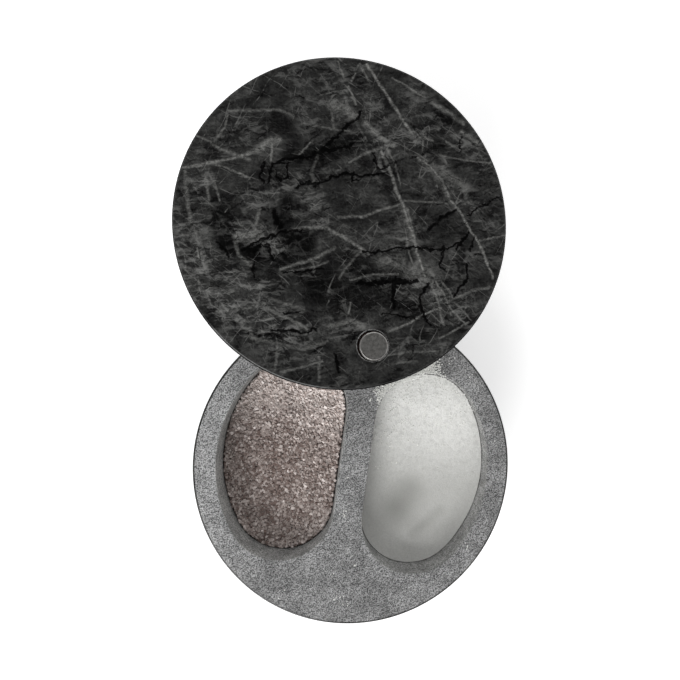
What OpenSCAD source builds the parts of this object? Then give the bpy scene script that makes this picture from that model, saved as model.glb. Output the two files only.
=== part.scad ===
// Round stone salt cellar with two pockets and a stone lid that swings on an upright pin.
// Millimetres. The origin is the middle of the pad's underside, +Z is up, +Y points at the pin.

/* [Body] */
// Outside diameter of the body, and of the lid that closes flush with it
body_d = 120; // [112:1:150]
// Height of the stone body, without its pad
body_h = 44; // [38:1:70]
// Radius of the body's polished edges
body_edge_r = 0.8; // [0.3:0.1:3]

/* [Pockets] */
// Thickness of the web between the two pockets
web_w = 11; // [6:0.5:14]
// Thickness of the wall outside each pocket
rim_w = 8.5; // [6:0.5:10]
// Radius of the two corners of each pocket, seen from above
pocket_corner_r = 20; // [12:0.5:24]
// Radius where a pocket's wall turns into its floor
pocket_floor_r = 6; // [2:0.5:9]
// Thickness of the stone under the pockets
floor_t = 12; // [6:0.5:18]

/* [Lid] */
// Thickness of the lid
lid_t = 12; // [9:0.5:20]
// Radius of the lid's polished edges
lid_edge_r = 0.8; // [0.3:0.1:3]
// How far the lid stands open, turned clockwise from closed as seen from above
open_angle = 158.7; // [0:0.1:360]

/* [Pin] */
// Distance from the edge of the body to the middle of the pin
pin_inset = 14.5; // [12:0.5:17]
// Diameter of the pin's head
pin_head_d = 10.2; // [9:0.1:13]
// Height that the head stands above the lid
pin_proud = 2.2; // [1:0.1:4]
// Diameter of the pin's shank
pin_d = 6; // [4:0.1:7]
// Chamfer round the top of the head
pin_chamfer = 0.4; // [0.1:0.1:0.9]
// Depth of the hole in the lid that takes the head
head_hole_depth = 4.5; // [2:0.1:6]
// Gap all round between the head and its hole
head_gap = 0.55; // [0.2:0.05:1]
// Chamfer at the mouth of the head's hole
head_hole_chamfer = 0.45; // [0.1:0.05:1]
// Length of the shank below the top of the body
pin_grip = 14; // [8:0.5:15.5]

/* [Pin fittings] */
// Radial thickness of the bush in the lid
bush_wall = 1.45; // [0.8:0.05:2]
// Thickness of the bush's flange, under the pin's head
bush_flange_t = 1; // [0.5:0.1:1.8]
// Running clearance between the bush and the shank, on the radius
bush_clear = 0.05; // [0.02:0.01:0.1]
// Lift that the head leaves the lid
head_play = 0.1; // [0.05:0.05:0.5]
// Outside diameter of the washer between the body and the lid
washer_d = 18; // [12:0.5:22]
// Thickness of the washer, which is the gap under the lid
washer_t = 0.6; // [0.3:0.1:2]
// Gap between the washer and the shank, on the radius
washer_gap = 0.2; // [0.1:0.05:0.6]
// Radial thickness of the sleeve that anchors the pin in the body
anchor_wall = 1.5; // [0.8:0.1:2.5]
// Length of the anchor sleeve
anchor_l = 16; // [14.5:0.5:26]

/* [Pad] */
// Thickness of the pad under the body
pad_t = 2; // [1:0.5:4]
// Distance from the body's edge to the pad's edge
pad_inset = 4; // [2:0.5:12]

/* [Salt] */
// Depth of the coarse salt below the rim, at the middle of its pocket
coarse_depth = 12; // [8:0.5:18]
// Depth of the fine salt below the rim, at the middle of its pocket
fine_depth = 8.5; // [7:0.5:18]
// Depth of the dip scooped in the fine salt
dip_depth = 2.5; // [0:0.1:5]
// Radius of the dip, where the fine salt is nearly flat again
dip_r = 14; // [8:0.5:20]
// Height of the low mounds that the coarse salt lies in
mound_h = 1.2; // [0:0.1:2]
// Distance between the mounds
mound_pitch = 11; // [8:0.5:16]
// Height of the ridge between the spoon's two grooves in the fine salt
ridge_h = 0.9; // [0:0.1:2]
// Length of the ridge
ridge_l = 34; // [20:1:44]
// Distance between the two grooves
groove_pitch = 13.5; // [10:0.5:18]
// Gap between the salt and the pocket's wall
salt_gap = 0.2; // [0.1:0.05:0.5]

/* [Hidden] */
$fn = 128;

// How much each salt falls away outwards from the web and towards the front, as shares of the run
coarse_fall_shares = [0.11, 0.045];
fine_fall_shares = [0, 0.12];

// Middles of the dip and of the ridge in the fine salt, as shares of the pocket's outer radius
dip_shares = [0.34, -0.28];
ridge_shares = [0.55, -0.25];

// Directions across the mounds, and across the ridge
mound_degs = [12, 74, 139];
ridge_degs = [-26];

// Steps round a pocket's outline: outer arc, each corner, straight web
arc_steps = 18;
bend_steps = 12;
web_steps = 6;

// Rings up the rounded foot of a pocket's wall, and across the top of the salt
foot_rings = 4;
salt_rings = 12;

// Largest corner radius that still leaves some straight web, as a share of a pocket's width
corner_limit_share = 0.48;

// How far a cut runs past the faces that it opens
overrun = 1;

// Ledge between a pocket's true wall and the rings of its rounded foot
foot_ledge = 0.3;

// Heights of the faces, from the surface that the cellar stands on
rim_z = pad_t + body_h;
floor_z = pad_t + floor_t;
lid_z = rim_z + washer_t;
lid_top_z = lid_z + lid_t;
flange_z = lid_top_z - head_hole_depth;

// Distance from the middle of the body to the pin, and round sizes at the pin
pivot_r = body_d / 2 - pin_inset;
pin_r = pin_d / 2;
head_r = pin_head_d / 2;
head_hole_r = head_r + head_gap;
bush_bore_r = pin_r + bush_clear;
bush_r = bush_bore_r + bush_wall;
anchor_r = pin_r + anchor_wall;

// Outline of a pocket: an outer arc about the body's middle, a straight web and two corners
pocket_r = body_d / 2 - rim_w;
pocket_w = pocket_r - web_w / 2;
corner_r = min(pocket_corner_r, pocket_w * corner_limit_share);
corner_x = web_w / 2 + corner_r;
corner_y = sqrt(pow(pocket_r - corner_r, 2) - pow(corner_x, 2));
corner_deg = atan2(corner_y, corner_x);

pocket_mid = [web_w / 2 + pocket_w / 2, 0];
dip_mid = dip_shares * pocket_r;
ridge_mid = ridge_shares * pocket_r;

// Point at an angle on an arc, where the angle is a share of the way between two others
function arc_point(mid, r, from_deg, to_deg, share) =
    let (deg = from_deg + (to_deg - from_deg) * share)
    mid + r * [cos(deg), sin(deg)];

// Outline of the pocket on the +X side, anticlockwise, drawn in from its walls by inset
function outline_points(inset) = concat(
    [for (i = [0:arc_steps - 1])
        arc_point([0, 0], pocket_r - inset, -corner_deg, corner_deg, i / arc_steps)],
    [for (i = [0:bend_steps - 1])
        arc_point([corner_x, corner_y], corner_r - inset, corner_deg, 180, i / bend_steps)],
    [for (i = [0:web_steps - 1])
        [web_w / 2 + inset, corner_y * (1 - 2 * i / web_steps)]],
    [for (i = [0:bend_steps - 1])
        arc_point([corner_x, -corner_y], corner_r - inset, 180, 360 - corner_deg, i / bend_steps)]
);

// Point in the plan lifted to a height
function at_height(p, z) = [p[0], p[1], z];

// Rings up the rounded foot of a pocket's wall, drawn in from the wall by gap
function foot(gap) = [for (k = [0:foot_rings])
    let (turn = 90 * k / foot_rings, foot_r = pocket_floor_r - gap)
    [for (p = outline_points(gap + foot_r * (1 - sin(turn))))
        at_height(p, floor_z + foot_r * (1 - cos(turn)))]];

// Round swelling from 0 far away to 1 at its middle
function swell(p, mid, r) = exp(-pow(norm(p - mid) / r, 2) * 2);

// Mean of the waves across each of some directions, from -1 to 1
function waves(p, pitch, degs) =
    let (ups = [for (deg = degs) cos(360 * (p * [cos(deg), sin(deg)]) / pitch)])
    ups * [for (deg = degs) 1] / len(degs);

// Height of a salt's surface: a slope through the pocket's middle, with its mounds, dip and ridge
function salt_z(p, depth, falls, mound, dip, ridge) =
    rim_z - depth - falls[0] * (p[0] - pocket_mid[0]) + falls[1] * p[1]
    - mound * (1 - waves(p, mound_pitch, mound_degs)) / 2
    - dip * swell(p, dip_mid, dip_r)
    + ridge * swell(p, ridge_mid, ridge_l / 2) * waves(p - ridge_mid, groove_pitch, ridge_degs);

// Disc with both edges rounded
module rounded_disc(r, h, edge_r) {
    rotate_extrude() {
        square([r - edge_r, h]);
        translate([0, edge_r]) square([r, h - 2 * edge_r]);
        translate([r - edge_r, edge_r]) circle(edge_r);
        translate([r - edge_r, h - edge_r]) circle(edge_r);
    }
}

// Solid between a low and a high middle point, through rings of points that are stacked upwards
module ringed(low, rings, high) {
    count = len(rings[0]);
    points = concat([low], [for (ring = rings) each ring], [high]);
    last = len(points) - 1;
    under = [for (i = [0:count - 1]) [0, 1 + i, 1 + (i + 1) % count]];
    around = [for (k = [0:len(rings) - 2]) for (i = [0:count - 1])
        let (a = 1 + k * count + i, b = 1 + k * count + (i + 1) % count)
        each [[a, a + count, b], [b, a + count, b + count]]];
    over = [for (i = [0:count - 1]) [last - count + i, last, last - count + (i + 1) % count]];
    polyhedron(points, concat(under, around, over));
}

// Outline of the pocket on the +X side, with true arcs
module pocket_outline() {
    web_x = web_w / 2;
    web_y = web_x * tan(corner_deg);
    far_y = pocket_r * tan(corner_deg);
    translate([web_x, -corner_y]) square([corner_r, 2 * corner_y]);
    for (side = [-1, 1]) translate([corner_x, side * corner_y]) circle(corner_r);
    intersection() {
        circle(pocket_r);
        polygon([[web_x, -web_y], [pocket_r, -far_y], [pocket_r, far_y], [web_x, web_y]]);
    }
}

// Space of the pocket on the +X side: true walls above the rounded foot, and open at the top
module pocket_space() {
    foot_z = floor_z + pocket_floor_r - foot_ledge;
    top_ring = [for (p = outline_points(foot_ledge)) at_height(p, foot_z + overrun)];
    translate([0, 0, foot_z]) linear_extrude(rim_z - foot_z + overrun) pocket_outline();
    ringed(
        at_height(pocket_mid, floor_z),
        concat(foot(foot_ledge), [top_ring]),
        at_height(pocket_mid, foot_z + overrun)
    );
}

// Carries its children to the pin and swings them open with the lid
module swung_open() {
    translate([0, pivot_r, 0]) rotate([0, 0, -open_angle]) children();
}

// Salt in the pocket on the +X side, lying on its floor
module salt_bed(depth, falls, mound, dip, ridge) {
    wall = outline_points(salt_gap);
    tops = [for (k = [0:salt_rings - 1])
        [for (p = wall)
            let (q = pocket_mid + (p - pocket_mid) * (1 - k / salt_rings))
            at_height(q, salt_z(q, depth, falls, mound, dip, ridge))]];
    ringed(
        at_height(pocket_mid, floor_z),
        concat(foot(foot_ledge + salt_gap), tops),
        at_height(pocket_mid, salt_z(pocket_mid, depth, falls, mound, dip, ridge))
    );
}

// Stone block with the two pockets and the blind hole for the pin's anchor
module body() {
    color("dimgray") difference() {
        translate([0, 0, pad_t]) rounded_disc(body_d / 2, body_h, body_edge_r);
        pocket_space();
        mirror([1, 0, 0]) pocket_space();
        translate([0, pivot_r, rim_z - anchor_l]) cylinder(r = anchor_r, h = anchor_l + overrun);
    }
}

// Stone lid: bored for the bush, with a wider hole at the top for the pin's head
module lid() {
    mouth_r = head_hole_r + head_hole_chamfer;
    color([0.1, 0.1, 0.1]) swung_open() difference() {
        translate([0, -pivot_r, lid_z]) rounded_disc(body_d / 2, lid_t, lid_edge_r);
        translate([0, 0, lid_z - overrun]) cylinder(r = bush_r, h = lid_t + overrun);
        translate([0, 0, flange_z]) cylinder(r = head_hole_r, h = head_hole_depth + overrun);
        translate([0, 0, lid_top_z - head_hole_chamfer])
            cylinder(r1 = head_hole_r, r2 = mouth_r, h = head_hole_chamfer);
    }
}

// Steel pin: a plain head in the lid's hole and a shank down into the anchor
module pivot_pin() {
    head_z = flange_z + bush_flange_t + head_play;
    head_h = lid_top_z + pin_proud - head_z;
    shank_z = rim_z - pin_grip;
    color("silver") translate([0, pivot_r, 0]) {
        translate([0, 0, shank_z]) cylinder(r = pin_r, h = head_z - shank_z);
        translate([0, 0, head_z]) rotate_extrude() polygon([
            [0, 0],
            [head_r, 0],
            [head_r, head_h - pin_chamfer],
            [head_r - pin_chamfer, head_h],
            [0, head_h]
        ]);
    }
}

// Flanged bush that is pressed into the lid from above and turns on the shank
module lid_bush() {
    color("saddlebrown") translate([0, pivot_r, 0]) difference() {
        union() {
            translate([0, 0, lid_z]) cylinder(r = bush_r, h = flange_z - lid_z);
            translate([0, 0, flange_z]) cylinder(r = head_hole_r, h = bush_flange_t);
        }
        translate([0, 0, lid_z - overrun]) cylinder(r = bush_bore_r, h = lid_t + overrun);
    }
}

// Slippery washer that carries the lid
module thrust_washer() {
    color("saddlebrown") translate([0, pivot_r, rim_z]) difference() {
        cylinder(r = washer_d / 2, h = washer_t);
        translate([0, 0, -overrun]) cylinder(r = pin_r + washer_gap, h = washer_t + 2 * overrun);
    }
}

// Sleeve bonded in the body's blind hole, which grips the shank
module anchor_sleeve() {
    color("goldenrod") translate([0, pivot_r, rim_z - anchor_l]) difference() {
        cylinder(r = anchor_r, h = anchor_l);
        translate([0, 0, -overrun]) cylinder(r = pin_r, h = anchor_l + 2 * overrun);
    }
}

// Thin pad glued under the body
module base_pad() {
    color("peru") cylinder(r = body_d / 2 - pad_inset, h = pad_t);
}

// Coarse salt in the pocket on the -X side
module coarse_salt() {
    color("rosybrown") mirror([1, 0, 0]) salt_bed(coarse_depth, coarse_fall_shares, mound_h, 0, 0);
}

// Fine salt in the pocket on the +X side
module fine_salt() {
    color("gainsboro") salt_bed(fine_depth, fine_fall_shares, 0, dip_depth, ridge_h);
}

body();
lid();
pivot_pin();
lid_bush();
thrust_washer();
anchor_sleeve();
base_pad();
coarse_salt();
fine_salt();
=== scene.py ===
# %% [markdown]
# A stone salt cellar with its lid swung aside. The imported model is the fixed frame: it says where each
# piece is and how large. Every mesh below is made at that place, in metres, and rides on one of the
# frame's two bodies, the base or the lid.

# %% Load the frame
import math
import random
from types import SimpleNamespace

import bmesh
import bpy
from mathutils import Matrix, Vector, noise
from mathutils.bvhtree import BVHTree


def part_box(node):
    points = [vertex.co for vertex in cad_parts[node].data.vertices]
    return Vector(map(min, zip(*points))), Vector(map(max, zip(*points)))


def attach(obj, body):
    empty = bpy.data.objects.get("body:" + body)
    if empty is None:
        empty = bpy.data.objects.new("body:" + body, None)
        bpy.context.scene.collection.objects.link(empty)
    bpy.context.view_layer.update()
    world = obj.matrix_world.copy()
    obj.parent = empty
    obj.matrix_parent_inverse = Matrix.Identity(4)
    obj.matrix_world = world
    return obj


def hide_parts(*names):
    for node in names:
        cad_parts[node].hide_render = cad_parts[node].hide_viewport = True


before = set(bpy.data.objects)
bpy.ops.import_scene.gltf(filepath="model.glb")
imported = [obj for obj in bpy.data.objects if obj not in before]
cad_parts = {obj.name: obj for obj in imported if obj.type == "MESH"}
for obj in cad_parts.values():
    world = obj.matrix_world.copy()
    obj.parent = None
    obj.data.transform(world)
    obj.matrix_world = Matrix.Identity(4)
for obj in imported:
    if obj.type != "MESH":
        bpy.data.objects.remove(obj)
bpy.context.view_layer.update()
MM = 0.001

# %% [markdown]
# The sizes come from the boxes of the frame's nodes, so the pieces below follow it. Only what a box
# can't tell is written here in millimetres: the outline of the pockets and the small edges.

# %% Sizes
PAD_LOW, PAD_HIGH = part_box("base_pad")
BODY_LOW, BODY_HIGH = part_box("body")
LID_LOW, LID_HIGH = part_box("lid")
PIN_LOW, PIN_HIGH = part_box("pivot_pin")
BUSH_LOW, BUSH_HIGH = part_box("lid_bush")
WASHER_LOW, WASHER_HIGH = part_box("thrust_washer")
SLEEVE_LOW, SLEEVE_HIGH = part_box("anchor_sleeve")

RIM_Z = BODY_HIGH.z
BODY_R = BODY_HIGH.x
LID_R = (LID_HIGH.x - LID_LOW.x) / 2
LID_MID = (LID_LOW + LID_HIGH) / 2
PIN_AXIS = (PIN_LOW + PIN_HIGH) / 2
EDGE_R = 0.8 * MM
RIM_W = 8.5 * MM
WEB_W = 11 * MM
CORNER_R = 20 * MM
POCKET_R = BODY_R - RIM_W
FLOOR_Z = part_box("fine_salt")[0].z
FOOT_R = 6 * MM
LIP_R = 0.35 * MM
print("body radius mm", round(BODY_R / MM, 2), "lid middle mm", [round(v / MM, 2) for v in LID_MID])

# %% [markdown]
# The photograph was taken from above. The two round outlines and the lines of the pockets fix the
# camera's place, turn and focal length. The frame is a crop from a larger picture, so the lens axis
# isn't in its middle, and the shift says how far off.

# %% Camera
CAMERA_PLACE = Vector((-16.28, 37.28, 277.17)) * MM
CAMERA_TURN = (0.27, -6.08, 7.77)
FOCAL_PX = 607.4
AXIS_PX = (390, 360)
FRAME_PX = 680
NEAR_CLIP = 10 * MM
scene = bpy.context.scene


def placed(name, data):
    """A new object of this data, in the scene at the origin."""
    thing = bpy.data.objects.new(name, data)
    scene.collection.objects.link(thing)
    return thing


optics = bpy.data.cameras.new("camera")
camera = placed("camera", optics)
scene.camera = camera
camera.location = CAMERA_PLACE
camera.rotation_euler = [math.radians(turn) for turn in CAMERA_TURN]
optics.lens = optics.sensor_width * FOCAL_PX / FRAME_PX
optics.shift_x = (FRAME_PX / 2 - AXIS_PX[0]) / FRAME_PX
optics.shift_y = (AXIS_PX[1] - FRAME_PX / 2) / FRAME_PX
optics.clip_start = NEAR_CLIP
scene.view_settings.view_transform = "Standard"
print("lens mm", round(optics.lens, 2), "shift", optics.shift_x, optics.shift_y)

# %% [markdown]
# A material is a small graph of nodes. One function can write them all: it adds a node with its
# settings, and fills each input with a number or another node. Colours are written in hex, as a screen
# shows them, and turned to the linear values that light works with.

# %% Nodes and colours
def srgb(code):
    """Linear colour of an sRGB hex code."""
    shares = [int(code[i:i + 2], 16) / 255 for i in (1, 3, 5)]
    linear = [s / 12.92 if s <= 0.04045 else ((s + 0.055) / 1.055) ** 2.4 for s in shares]
    return (*linear, 1.0)


def pick(sockets, name):
    """Socket of this number, or the one in use that has this name."""
    if isinstance(name, int):
        return sockets[name]
    return next(s for s in sockets if s.enabled and s.name == name)


def add(kind, inputs, tree=None, **settings):
    """Adds a node to a tree, or to that of its inputs. A node as an input gives its first output."""
    if tree is None:
        tree = next(value.id_data for value in inputs.values() if hasattr(value, "id_data"))
    node = tree.nodes.new("ShaderNode" + kind)
    for name, value in settings.items():
        setattr(node, name, value)
    for name, value in inputs.items():
        if isinstance(value, bpy.types.Node):
            value = next(s for s in value.outputs if s.enabled)
        if isinstance(value, bpy.types.NodeSocket):
            tree.links.new(value, pick(node.inputs, name))
        else:
            pick(node.inputs, name).default_value = value
    return node


print("light of a mid grey:", round(srgb("#808080")[0], 3))

# %% [markdown]
# Stone and salt are the same all through, so their patterns are solid: they fill space and are cut by
# the surface. Object coordinates times a thousand are millimetres, and then a noise's scale is one over
# the size of its lumps. A pattern gives the colour and, where it can be felt, small hills.

# %% Patterns and finishes
SOFT_ENDS = {"interpolation_type": "SMOOTHSTEP"}


def in_mm(shader, middle=(0, 0, 0), turn=0.0):
    """Place in millimetres from a middle point, turned about the upright."""
    return add("Mapping", {
        "Vector": add("TexCoord", {}, shader.id_data).outputs["Object"],
        "Location": [-c / MM for c in middle],
        "Rotation": (0, 0, turn),
        "Scale": [1 / MM] * 3,
    })


def patches(place, size_mm, detail, roughness, levels=None, reach=(0.0, 1.0)):
    """Noise with lumps of a size, and with its levels between two values stretched to a reach."""
    lumps = add("TexNoise", {
        "Vector": place, "Scale": 1 / size_mm, "Detail": detail, "Roughness": roughness,
    })
    return lumps if levels is None else add("MapRange", {
        "Value": lumps, "From Min": levels[0], "From Max": levels[1],
        "To Min": reach[0], "To Max": reach[1],
    }, **SOFT_ENDS)


def slope(place, axis, start, end, low, high):
    """Goes softly from low to high between two places along an axis."""
    return add("MapRange", {
        "Value": add("SeparateXYZ", {"Vector": place}).outputs[axis],
        "From Min": start, "From Max": end, "To Min": low, "To Max": high,
    }, **SOFT_ENDS)


def combined(way, first, *others):
    """One field out of several, by ADD, MULTIPLY or MAXIMUM."""
    for other in others:
        first = add("Math", {0: first, 1: other}, operation=way)
    return first


def layer(under, code, field, share=1.0):
    """Lays a colour over another, as far as a share of a field says."""
    if share != 1.0:
        field = combined("MULTIPLY", field, share)
    if isinstance(under, str):
        under = srgb(under)
    return add("Mix", {"Factor": field, "A": under, "B": srgb(code)}, data_type="RGBA")


def new_material(name, **shader_inputs):
    """A material and its shader, with these numbers set on it."""
    material = bpy.data.materials.new(name)
    material.use_nodes = True
    shader = material.node_tree.nodes["Principled BSDF"]
    for socket, value in shader_inputs.items():
        shader.inputs[socket.replace("_", " ")].default_value = value
    return material, shader


def dress(shader, colour, height=None, depth_mm=0.0):
    """Gives a shader its colour and, from a field of heights, hills of a real depth."""
    tree = shader.id_data
    tree.links.new(pick(colour.outputs, "Result"), shader.inputs["Base Color"])
    if depth_mm:
        bump = add("Bump", {"Height": height, "Distance": depth_mm * MM})
        tree.links.new(bump.outputs[0], shader.inputs["Normal"])


# %% [markdown]
# The lid is black marble with white calcite in healed cracks, grey clouds and torn black cracks. Noise
# could give veins, but never these veins, so each larger one is drawn as a few points, in millimetres
# from the lid's middle, read from the photograph. A node group turns one straight run into a
# soft line. One vector goes along a string of such runs: its X and Y are the place, and its Z is the
# mask so far.

# %% A vein as a node group
FADE = 1.9
FAR_BELOW = -1000.0

vein = bpy.data.node_groups.new("vein", "ShaderNodeTree")
for name in ("Carried", "Minus start", "Run", "Run over its square"):
    vein.interface.new_socket(name, in_out="INPUT", socket_type="NodeSocketVector")
for name in ("Width", "Strength"):
    vein.interface.new_socket(name, in_out="INPUT", socket_type="NodeSocketFloat")
vein.interface.new_socket("Carried", in_out="OUTPUT", socket_type="NodeSocketVector")
given = vein.nodes.new("NodeGroupInput").outputs
from_start = add("VectorMath", {
    0: given["Carried"], 1: (1, 1, 0), 2: given["Minus start"],
}, operation="MULTIPLY_ADD")
along = add("VectorMath", {0: from_start, 1: given["Run over its square"]}, operation="DOT_PRODUCT")
held = add("Clamp", {"Value": along})
nearest = add("VectorMath", {0: given["Run"], "Scale": held}, operation="SCALE")
gap = add("VectorMath", {0: from_start, 1: nearest}, operation="DISTANCE")
line = add("MapRange", {
    "Value": gap, "From Max": given["Width"], "To Min": given["Strength"], "To Max": 0.0,
}, **SOFT_ENDS)
drawn = add("CombineXYZ", {"X": FAR_BELOW, "Y": FAR_BELOW, "Z": line})
most = add("VectorMath", {0: given["Carried"], 1: drawn}, operation="MAXIMUM")
vein.links.new(most.outputs[0], vein.nodes.new("NodeGroupOutput").inputs[0])
print("nodes in a vein:", len(vein.nodes))


def veins(place, lines):
    """Field of many veins. Each is its half width in mm, its strength and its points."""
    carried = add("VectorMath", {0: place, 1: (1, 1, 0)}, operation="MULTIPLY")
    for half_width, strength, *points in lines:
        for start, end in zip(points, points[1:]):
            run = Vector(end) - Vector(start)
            carried = add("Group", {
                "Carried": carried,
                "Minus start": (-start[0], -start[1], 0),
                "Run": (*run, 0),
                "Run over its square": (*(run / run.length_squared), 0),
                "Width": half_width * FADE,
                "Strength": strength,
            }, node_tree=vein)
    return add("SeparateXYZ", {"Vector": carried}).outputs["Z"]


# %% [markdown]
# The light veins come first: two strong ones from top to bottom at the right, a fan of finer ones at the
# left, and a burst of short ones at the lower right. Where the stone is full of hair cracks it is paler,
# so these patches are drawn too, as very wide lines.

# %% Light veins of the lid
LIGHT_VEINS = [
    (0.45, 0.95, (0.5, 58), (5, 53), (9, 48.5), (13, 44), (16.5, 40), (20, 36.5)),
    (0.35, 0.56, (-2, 58), (2, 52)), (0.3, 0.62, (10, 55), (17, 52.5), (23, 50.5)),
    (0.7, 0.67, (26, 48.5), (32, 46.5), (38, 43.5)), (0.7, 0.62, (38, 40.5), (45, 37)),
    (0.42, 0.9, (23, 28), (28, 26), (33, 21), (37, 15.5), (42, 10), (47, 4),
     (51, -0.5), (54, -6), (57, -11.5)),
    (0.5, 0.95, (10, 28), (14, 22), (17, 15.5), (20, 10.5), (23, 4), (26, -1),
     (28, -7), (31, -13), (33, -17)),
    (0.35, 0.67, (22, 9), (24.5, 3), (27, -3)), (0.3, 0.5, (11, 31), (15, 25), (18.5, 17)),
    (0.3, 0.5, (22, 2), (25.5, -8), (29, -15)), (1.3, 0.35, (20, 9), (26, -2), (30, -12)),
    (0.9, 0.35, (26, 27), (33, 20), (40, 11.5)), (0.45, 0.67, (20, 10.5), (13, 7), (6, 3.5), (-2, 2)),
    (0.35, 0.5, (20.5, 11.5), (28, 12.3), (36, 13)), (1.6, 0.4, (24, 28), (35, 23.5), (42, 20.5)),
    (0.4, 0.5, (21, 34), (24, 36), (28, 35)), (0.35, 0.5, (24, 38), (24.5, 31)),
    (0.3, 0.45, (30, 30), (45, 30), (52, 31)), (0.3, 0.56, (33, 35.5), (38, 33.5)),
    (0.3, 0.67, (50, 1.5), (59, 5)), (0.35, 0.56, (-10, 57), (-6.5, 51)),
    (0.35, 0.67, (-2.5, 57.5), (-4.5, 51.5)), (0.35, 0.67, (-5, 49), (-1.5, 43)),
    (1.6, 0.6, (-10, 41.5), (-5, 41), (-1, 38)), (0.4, 0.45, (-11, 43), (-8, 33)),
    (0.3, 0.56, (-15, 28), (-19, 22)), (0.5, 0.35, (-12, 24), (-14, 16), (-12, 12)),
    (0.3, 0.39, (-19, 33), (-2, 33)), (0.7, 0.62, (3, 37), (8, 33), (14, 31)),
    (0.4, 0.5, (-1, 22), (5, 27), (12, 30)), (0.5, 0.84, (-58, 10), (-50, 13.5), (-40, 17.2), (-33, 21)),
    (1.1, 0.75, (-34, 21), (-30, 24.5), (-27, 25.5)), (0.55, 0.62, (-49, 20), (-41, 18), (-36, 17)),
    (0.35, 0.5, (-49, 21.5), (-46, 27), (-45.5, 33)),
    (0.5, 0.5, (-45.5, 33), (-37, 34.8), (-28, 36.5), (-23, 35)), (0.3, 0.5, (-56, 22.5), (-50, 21)),
    (0.35, 0.67, (-47, 13.5), (-41, 12.2), (-35, 10.5)), (0.6, 0.42, (-57, 9), (-55, -1), (-53, -8)),
    (0.5, 0.5, (-50, 9), (-48, 1)), (0.35, 0.56, (-47, 8), (-44, 1)), (0.35, 0.78, (-29, 24), (-28.5, 18)),
    (0.5, 0.62, (-19, -6), (-13, -3.5), (-6, -2.5), (0, -5)),
    (0.5, 0.65, (-20, -20), (-10, -15), (-2, -9)), (0.35, 0.45, (-17, -20.5), (-8, -17), (-4, -14.5)),
    (0.9, 0.8, (-37, -10.5), (-31, -9.5), (-28.5, -8.5)),
    (0.5, 0.5, (-36.5, -12), (-32, -11), (-27, -9.5)), (1.8, 0.4, (-52, -12.5), (-47, -11)),
    (0.5, 0.62, (-31, -9), (-30, 0)), (0.5, 0.5, (-37, -12), (-35, -17), (-30, -20)),
    (0.3, 0.9, (-49.5, -17), (-48.5, -20)), (0.5, 0.56, (-23, -34), (-14, -37), (-8, -39.5)),
    (0.5, 0.45, (-23, -30.5), (-10, -32.5)), (0.55, 0.45, (-29, -45), (-19, -46), (-8, -47), (0, -43)),
    (0.4, 0.45, (-17.5, -47), (-17, -56)), (0.35, 0.62, (-15, -56), (-8, -53.5), (-1, -50.5)),
    (0.45, 0.45, (-2, -49), (-1, -57.5)), (0.5, 0.5, (-40, -38), (-32, -36), (-24, -33)),
    (0.55, 0.84, (0, -4.5), (5, -7), (8.5, -8.5)), (0.35, 0.5, (1, -20), (4, -14), (7.5, -9)),
    (0.35, 0.45, (5, -20), (13, -16.5), (22, -15)), (2.0, 0.45, (16, -11.5), (22, -10.5)),
    (3.2, 0.5, (28, -14), (33, -12.5)), (0.35, 0.67, (35, -18), (38, -24), (41, -31)),
    (0.35, 0.84, (21, -36.5), (27, -33), (33, -28.5), (39, -25)),
    (0.3, 0.67, (36, -15.5), (43, -25), (49, -30)), (0.3, 0.5, (38, -15), (46, -24), (51, -28)),
    (0.45, 0.56, (42, -22), (50, -17), (56, -15)), (0.35, 0.56, (40, -36), (50, -29)),
    (0.75, 0.56, (0, -37.5), (8, -34), (12, -36)), (0.3, 0.67, (6, -28), (6, -32)),
    (0.3, 0.39, (22, -45), (30, -42.5), (40, -41)), (0.3, 0.39, (24, -48), (33, -45)),
]
PALE_PATCHES = [
    (9.0, 0.9, (-50, -20), (-44, -30), (-30, -37), (-14, -42)), (5.0, 0.8, (-44, -22), (-26, -27)),
    (9.0, 0.6, (-16, 50), (-6, 44), (4, 39)), (6.0, 0.8, (-54, -10), (-51, 6)),
    (6.0, 0.5, (24, 44), (38, 38), (48, 30)), (6.0, 0.8, (28, -18), (46, -24)),
    (5.0, 0.7, (4, 32), (14, 32), (22, 36)), (5.0, 0.7, (-16, 12), (-9, 0)),
    (4.0, 0.8, (-36, -8), (-28, -9), (-22, -13)), (4.0, 0.7, (-33, 3), (-27, 6)),
    (5.0, 0.5, (38, 20), (52, 10)), (5.0, 0.6, (0, -38), (12, -36)),
]

# %% [markdown]
# The black cracks are later breaks that filled with clay, more crooked than the veins. The stone round
# them is stained dark, and the stains are wide lines of their own.

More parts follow.
